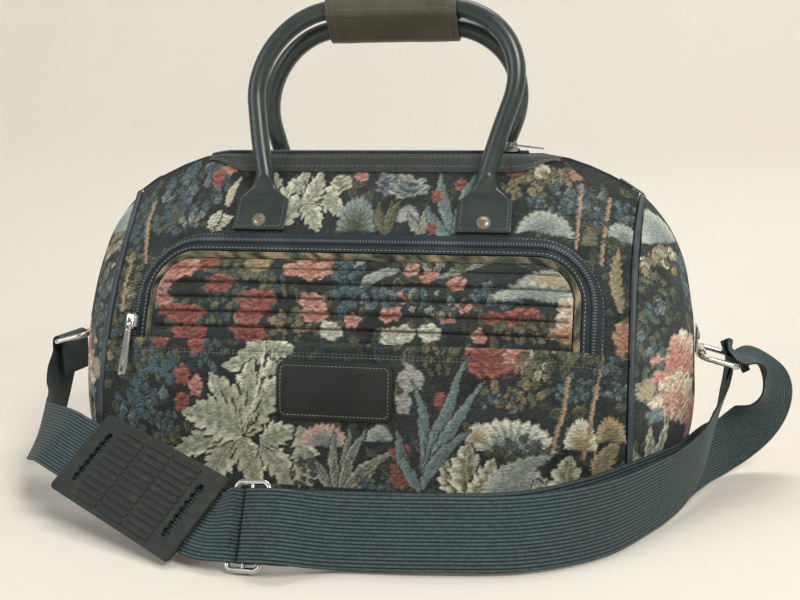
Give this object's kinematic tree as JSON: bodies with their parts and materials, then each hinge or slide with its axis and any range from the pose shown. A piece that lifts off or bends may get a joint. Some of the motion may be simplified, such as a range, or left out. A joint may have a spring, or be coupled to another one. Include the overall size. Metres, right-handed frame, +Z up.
{
  "type": "carpet bag",
  "caption": "Soft tapestry holdall with a zipped ridge, a tucked and zipped front pocket, rolled handles joined by a grip, and a webbing shoulder strap on end rings.",
  "frame": {"origin": "middle of the base's underside", "axes": "+Z up, -Y out of the front with the zipped pocket, +X to the right seen from the front"},
  "size_m": [0.6641, 0.402, 0.4114],
  "materials": {
    "tapestry": "matte jacquard tapestry",
    "board": "matte",
    "piping": "satin vinyl",
    "zip": "matte woven tape with a moulded coil",
    "vinyl": "glossy vinyl",
    "patch": "matte",
    "metal": "polished",
    "webbing": "ribbed woven webbing",
    "pad": "matte moulded"
  },
  "bodies": {
    "bag": {"front_panel": "tapestry", "lower_front_panel": "tapestry", "pocket_panel": "tapestry", "pocket_piping": "tapestry", "pocket_zip": "zip", "back_panel": "tapestry", "left_end_panel": "tapestry", "right_end_panel": "tapestry", "base_panel": "tapestry", "base_board": "board", "front_left_piping": "piping", "front_right_piping": "piping", "back_left_piping": "piping", "back_right_piping": "piping", "main_zip": "zip", "front_zip_facing": "vinyl", "back_zip_facing": "vinyl", "front_handle": "vinyl", "back_handle": "vinyl", "front_handle_rivets": "metal", "back_handle_rivets": "metal", "handle_grip": "vinyl", "plain_patch": "patch", "left_ring_bracket": "metal", "right_ring_bracket": "metal", "left_bracket_rivet": "metal", "right_bracket_rivet": "metal", "shoulder_strap": "webbing", "strap_adjuster": "metal"},
    "pocket_slider": {"pocket_zip_slider": "metal"},
    "pocket_pull": {"pocket_zip_pull": "metal"},
    "main_slider": {"main_zip_slider": "metal"},
    "main_pull": {"main_zip_pull": "metal"},
    "left_ring": {"left_ring": "metal"},
    "right_ring": {"right_ring": "metal"},
    "pad": {"shoulder_pad": "pad"}
  },
  "joints": [
    {"name": "left_ring_swing", "type": "hinge", "parent": "bag", "child": "left_ring", "pos_m": [-0.27264, 0, 0.113], "axis": [0, 1, 0], "range_deg": [-60, 95], "deforming": ["shoulder_strap"]},
    {"name": "right_ring_swing", "type": "hinge", "parent": "bag", "child": "right_ring", "pos_m": [0.27264, 0, 0.113], "axis": [0, -1, 0], "range_deg": [-60, 95], "deforming": ["shoulder_strap"]},
    {"name": "main_zip_slide", "type": "slide", "parent": "bag", "child": "main_slider", "axis": [-1, 0, 0], "range_m": [0, 0.236]},
    {"name": "main_pull_swing", "type": "hinge", "parent": "main_slider", "child": "main_pull", "pos_m": [0.1135, 0, 0.2843], "axis": [0, -1, 0], "range_deg": [0, 160]},
    {"name": "pocket_zip_slide", "type": "slide", "parent": "bag", "child": "pocket_slider", "axis": [-0.0055, 0.4126, 0.9109], "range_m": [0, 0.012]},
    {"name": "pocket_pull_swing", "type": "hinge", "parent": "pocket_slider", "child": "pocket_pull", "pos_m": [-0.19046, -0.10824, 0.13997], "axis": [-0.7725, 0.5766, -0.2658], "range_deg": [0, 130]},
    {"name": "pad_slide", "type": "slide", "parent": "bag", "child": "pad", "axis": [0.8549, -0.4925, -0.1631], "range_m": [-0.018, 0]}
  ]
}
